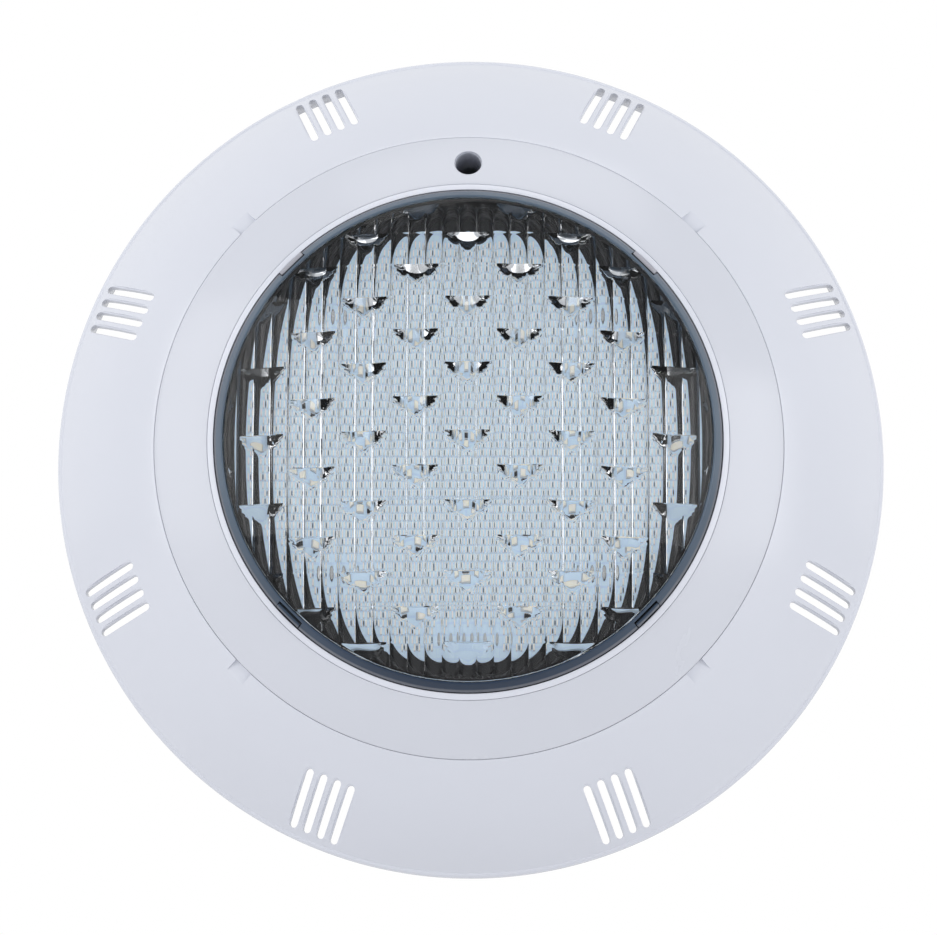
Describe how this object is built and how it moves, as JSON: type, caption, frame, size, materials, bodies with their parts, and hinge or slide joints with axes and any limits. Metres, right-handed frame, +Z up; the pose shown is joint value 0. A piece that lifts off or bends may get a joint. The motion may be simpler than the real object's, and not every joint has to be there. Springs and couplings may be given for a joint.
{
  "type": "underwater pool light",
  "caption": "Round wall-hung underwater pool light: domed white flange with flow slots, push-fit ring, fluted clear lens over an LED board, sealed housing and wall bracket.",
  "frame": {"origin": "centre of the wall bracket's flat back, on the pool wall", "axes": "+Y into the wall, -Y out of the face towards the viewer, +Z up with the light hung, +X to the viewer's right"},
  "size_m": [0.29, 0.0832, 0.29],
  "materials": {
    "white_abs": "glossy cool-white moulded ABS",
    "grey_abs": "grey moulded plastic, fine texture",
    "dark_band": "glossy blue-black plastic",
    "clear_polycarbonate": "clear, fluted",
    "dark_housing": "dark moulded plastic",
    "seal_rubber": "black silicone rubber",
    "stainless_steel": "stainless steel",
    "brass_insert": "turned brass",
    "aluminium_plate": "mill finish",
    "board_white": "white solder mask on an aluminium core",
    "board_green": "green circuit board",
    "copper_winding": "enamelled copper wire",
    "black_component": "black component body",
    "green_terminal": "green terminal block",
    "red_wire": "red insulation",
    "black_wire": "black insulation"
  },
  "bodies": {
    "bracket": {"wall_bracket": "grey_abs", "bracket_insert": "brass_insert"},
    "lamp": {"face_flange": "white_abs", "lens_bezel": "white_abs", "gland_body": "grey_abs", "lens_ring": "dark_band", "lens_clip_1": "dark_band", "lens_clip_2": "dark_band", "lens_clip_3": "dark_band", "lens_clip_4": "dark_band", "lens": "clear_polycarbonate", "lamp_housing": "dark_housing", "lens_gasket": "seal_rubber", "gland_o_ring": "seal_rubber", "gland_seal": "seal_rubber", "unit_screw_1": "stainless_steel", "unit_screw_2": "stainless_steel", "unit_screw_3": "stainless_steel", "unit_screw_4": "stainless_steel", "unit_screw_5": "stainless_steel", "unit_screw_6": "stainless_steel", "board_screw_1": "stainless_steel", "board_screw_2": "stainless_steel", "board_screw_3": "stainless_steel", "board_screw_4": "stainless_steel", "driver_screw_1": "stainless_steel", "driver_screw_2": "stainless_steel", "driver_screw_3": "stainless_steel", "heat_plate": "aluminium_plate", "led_board": "board_white", "driver_board": "board_green", "choke_coil": "copper_winding", "bridge_rectifier": "black_component", "driver_chip": "black_component", "smoothing_capacitor": "black_component", "terminal_block": "green_terminal", "led_lead_positive": "red_wire", "led_lead_negative": "black_wire"},
    "ring": {"retaining_ring": "white_abs"},
    "pilot": {"pilot_screw": "stainless_steel", "pilot_screw_seal": "seal_rubber"},
    "nut": {"gland_nut": "grey_abs"}
  },
  "joints": [
    {"name": "lamp_pull", "type": "slide", "parent": "bracket", "child": "lamp", "axis": [0, -1, 0], "range_m": [0, 0.06]},
    {"name": "ring_pull", "type": "slide", "parent": "lamp", "child": "ring", "axis": [0, -1, 0], "range_m": [0, 0.035]},
    {"name": "pilot_screw_turn", "type": "hinge", "parent": "lamp", "child": "pilot", "pos_m": [0, -0.02, 0.0962], "axis": [0, 1, 0], "continuous": true},
    {"name": "gland_nut_turn", "type": "hinge", "parent": "lamp", "child": "nut", "pos_m": [0, -0.0275, -0.095], "axis": [0, 0, -1], "continuous": true}
  ]
}
